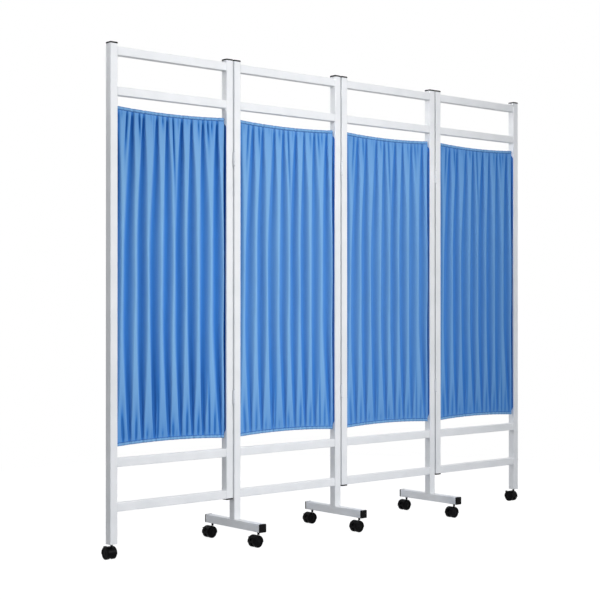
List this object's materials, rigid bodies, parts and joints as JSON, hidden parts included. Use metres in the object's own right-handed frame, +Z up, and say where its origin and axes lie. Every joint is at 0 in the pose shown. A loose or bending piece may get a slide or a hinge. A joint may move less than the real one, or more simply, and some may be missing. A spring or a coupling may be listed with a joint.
{
  "type": "mobile hospital partition",
  "caption": "Folding ward screen: hinged square-tube panels with gathered curtains, cross feet and hooded twin-wheel castors.",
  "frame": {"origin": "on the floor, in the middle of the unfolded screen and in the middle of its uprights' depth", "axes": "+X along the unfolded screen to its right-hand end, -Y the front, on which the hinge barrels stand, +Z up"},
  "size_m": [2.0258, 0.3076, 1.6688],
  "materials": {
    "frame": "white powder coat, satin",
    "cap": "black moulded polyethylene",
    "curtain": "blue polyester cloth, plain weave",
    "castor_body": "black moulded nylon",
    "castor_wheel": "black moulded polyamide, worn tread",
    "brake_lever": "black moulded nylon",
    "zinc_steel": "zinc plated"
  },
  "bodies": {
    "panel_1": {"panel_1_bottom_cap": "cap", "panel_1_curtain": "curtain", "panel_1_frame": "frame", "panel_1_left_top_cap": "cap", "panel_1_right_top_cap": "cap", "panel_1_stem_socket": "zinc_steel"},
    "panel_2": {"foot_1_bar": "frame", "foot_1_front_cap": "cap", "foot_1_rear_cap": "cap", "foot_2_bar": "frame", "foot_2_front_cap": "cap", "foot_2_rear_cap": "cap", "hinge_12_lower_pin": "zinc_steel", "hinge_12_upper_pin": "zinc_steel", "hinge_23_lower_pin": "zinc_steel", "hinge_23_upper_pin": "zinc_steel", "panel_2_curtain": "curtain", "panel_2_frame": "frame", "panel_2_left_top_cap": "cap", "panel_2_right_top_cap": "cap"},
    "panel_3": {"foot_3_bar": "frame", "foot_3_front_cap": "cap", "foot_3_rear_cap": "cap", "hinge_34_lower_pin": "zinc_steel", "hinge_34_upper_pin": "zinc_steel", "panel_3_bottom_cap": "cap", "panel_3_curtain": "curtain", "panel_3_frame": "frame", "panel_3_left_top_cap": "cap", "panel_3_right_top_cap": "cap"},
    "panel_4": {"panel_4_bottom_cap": "cap", "panel_4_curtain": "curtain", "panel_4_frame": "frame", "panel_4_left_top_cap": "cap", "panel_4_right_top_cap": "cap", "panel_4_stem_socket": "zinc_steel"},
    "left_end_swivel": {"left_end_castor_body": "castor_body"},
    "left_end_wheels": {"left_end_castor_wheels": "castor_wheel"},
    "left_end_brake": {"left_end_brake_lever": "brake_lever"},
    "foot_1_rear_swivel": {"foot_1_rear_castor_body": "castor_body"},
    "foot_1_rear_wheels": {"foot_1_rear_castor_wheels": "castor_wheel"},
    "foot_1_rear_brake": {"foot_1_rear_brake_lever": "brake_lever"},
    "foot_1_front_swivel": {"foot_1_front_castor_body": "castor_body"},
    "foot_1_front_wheels": {"foot_1_front_castor_wheels": "castor_wheel"},
    "foot_1_front_brake": {"foot_1_front_brake_lever": "brake_lever"},
    "foot_2_rear_swivel": {"foot_2_rear_castor_body": "castor_body"},
    "foot_2_rear_wheels": {"foot_2_rear_castor_wheels": "castor_wheel"},
    "foot_2_rear_brake": {"foot_2_rear_brake_lever": "brake_lever"},
    "foot_2_front_swivel": {"foot_2_front_castor_body": "castor_body"},
    "foot_2_front_wheels": {"foot_2_front_castor_wheels": "castor_wheel"},
    "foot_2_front_brake": {"foot_2_front_brake_lever": "brake_lever"},
    "foot_3_rear_swivel": {"foot_3_rear_castor_body": "castor_body"},
    "foot_3_rear_wheels": {"foot_3_rear_castor_wheels": "castor_wheel"},
    "foot_3_rear_brake": {"foot_3_rear_brake_lever": "brake_lever"},
    "foot_3_front_swivel": {"foot_3_front_castor_body": "castor_body"},
    "foot_3_front_wheels": {"foot_3_front_castor_wheels": "castor_wheel"},
    "foot_3_front_brake": {"foot_3_front_brake_lever": "brake_lever"},
    "right_end_swivel": {"right_end_castor_body": "castor_body"},
    "right_end_wheels": {"right_end_castor_wheels": "castor_wheel"},
    "right_end_brake": {"right_end_brake_lever": "brake_lever"}
  },
  "joints": [
    {"name": "hinge_12", "type": "hinge", "parent": "panel_2", "child": "panel_1", "pos_m": [-0.506, -0.01787, 0.9145], "axis": [0, 0, 1], "range_deg": [-8, 150]},
    {"name": "hinge_23", "type": "hinge", "parent": "panel_2", "child": "panel_3", "pos_m": [0, -0.01787, 0.9145], "axis": [0, 0, 1], "range_deg": [-140, 8]},
    {"name": "hinge_34", "type": "hinge", "parent": "panel_3", "child": "panel_4", "pos_m": [0.506, -0.01787, 0.9145], "axis": [0, 0, -1], "range_deg": [-8, 180]},
    {"name": "left_end_swivel_turn", "type": "hinge", "parent": "panel_1", "child": "left_end_swivel", "pos_m": [-0.995, 0, 0.051], "axis": [0, 0, 1], "continuous": true},
    {"name": "left_end_wheel_roll", "type": "hinge", "parent": "left_end_swivel", "child": "left_end_wheels", "pos_m": [-0.995, 0.013, 0.01962], "axis": [-1, 0, 0], "continuous": true},
    {"name": "left_end_brake_press", "type": "hinge", "parent": "left_end_swivel", "child": "left_end_brake", "pos_m": [-0.995, 0.02488, 0.02793], "axis": [-1, 0, 0], "range_deg": [0, 20]},
    {"name": "foot_1_rear_swivel_turn", "type": "hinge", "parent": "panel_2", "child": "foot_1_rear_swivel", "pos_m": [-0.489, 0.128, 0.051], "axis": [0, 0, 1], "continuous": true},
    {"name": "foot_1_rear_wheel_roll", "type": "hinge", "parent": "foot_1_rear_swivel", "child": "foot_1_rear_wheels", "pos_m": [-0.502, 0.128, 0.01962], "axis": [0, -1, 0], "continuous": true},
    {"name": "foot_1_rear_brake_press", "type": "hinge", "parent": "foot_1_rear_swivel", "child": "foot_1_rear_brake", "pos_m": [-0.51388, 0.128, 0.02793], "axis": [0, -1, 0], "range_deg": [0, 20]},
    {"name": "foot_1_front_swivel_turn", "type": "hinge", "parent": "panel_2", "child": "foot_1_front_swivel", "pos_m": [-0.489, -0.128, 0.051], "axis": [0, 0, 1], "continuous": true},
    {"name": "foot_1_front_wheel_roll", "type": "hinge", "parent": "foot_1_front_swivel", "child": "foot_1_front_wheels", "pos_m": [-0.502, -0.128, 0.01962], "axis": [0, -1, 0], "continuous": true},
    {"name": "foot_1_front_brake_press", "type": "hinge", "parent": "foot_1_front_swivel", "child": "foot_1_front_brake", "pos_m": [-0.51388, -0.128, 0.02793], "axis": [0, -1, 0], "range_deg": [0, 20]},
    {"name": "foot_2_rear_swivel_turn", "type": "hinge", "parent": "panel_2", "child": "foot_2_rear_swivel", "pos_m": [-0.017, 0.128, 0.051], "axis": [0, 0, 1], "continuous": true},
    {"name": "foot_2_rear_wheel_roll", "type": "hinge", "parent": "foot_2_rear_swivel", "child": "foot_2_rear_wheels", "pos_m": [-0.03, 0.128, 0.01962], "axis": [0, -1, 0], "continuous": true},
    {"name": "foot_2_rear_brake_press", "type": "hinge", "parent": "foot_2_rear_swivel", "child": "foot_2_rear_brake", "pos_m": [-0.04188, 0.128, 0.02793], "axis": [0, -1, 0], "range_deg": [0, 20]},
    {"name": "foot_2_front_swivel_turn", "type": "hinge", "parent": "panel_2", "child": "foot_2_front_swivel", "pos_m": [-0.017, -0.128, 0.051], "axis": [0, 0, 1], "continuous": true},
    {"name": "foot_2_front_wheel_roll", "type": "hinge", "parent": "foot_2_front_swivel", "child": "foot_2_front_wheels", "pos_m": [-0.03, -0.128, 0.01962], "axis": [0, -1, 0], "continuous": true},
    {"name": "foot_2_front_brake_press", "type": "hinge", "parent": "foot_2_front_swivel", "child": "foot_2_front_brake", "pos_m": [-0.04188, -0.128, 0.02793], "axis": [0, -1, 0], "range_deg": [0, 20]},
    {"name": "foot_3_rear_swivel_turn", "type": "hinge", "parent": "panel_3", "child": "foot_3_rear_swivel", "pos_m": [0.489, 0.128, 0.051], "axis": [0, 0, 1], "continuous": true},
    {"name": "foot_3_rear_wheel_roll", "type": "hinge", "parent": "foot_3_rear_swivel", "child": "foot_3_rear_wheels", "pos_m": [0.476, 0.128, 0.01962], "axis": [0, -1, 0], "continuous": true},
    {"name": "foot_3_rear_brake_press", "type": "hinge", "parent": "foot_3_rear_swivel", "child": "foot_3_rear_brake", "pos_m": [0.46412, 0.128, 0.02793], "axis": [0, -1, 0], "range_deg": [0, 20]},
    {"name": "foot_3_front_swivel_turn", "type": "hinge", "parent": "panel_3", "child": "foot_3_front_swivel", "pos_m": [0.489, -0.128, 0.051], "axis": [0, 0, 1], "continuous": true},
    {"name": "foot_3_front_wheel_roll", "type": "hinge", "parent": "foot_3_front_swivel", "child": "foot_3_front_wheels", "pos_m": [0.476, -0.128, 0.01962], "axis": [0, -1, 0], "continuous": true},
    {"name": "foot_3_front_brake_press", "type": "hinge", "parent": "foot_3_front_swivel", "child": "foot_3_front_brake", "pos_m": [0.46412, -0.128, 0.02793], "axis": [0, -1, 0], "range_deg": [0, 20]},
    {"name": "right_end_swivel_turn", "type": "hinge", "parent": "panel_4", "child": "right_end_swivel", "pos_m": [0.995, 0, 0.051], "axis": [0, 0, 1], "continuous": true},
    {"name": "right_end_wheel_roll", "type": "hinge", "parent": "right_end_swivel", "child": "right_end_wheels", "pos_m": [0.995, 0.013, 0.01962], "axis": [-1, 0, 0], "continuous": true},
    {"name": "right_end_brake_press", "type": "hinge", "parent": "right_end_swivel", "child": "right_end_brake", "pos_m": [0.995, 0.02488, 0.02793], "axis": [-1, 0, 0], "range_deg": [0, 20]}
  ]
}
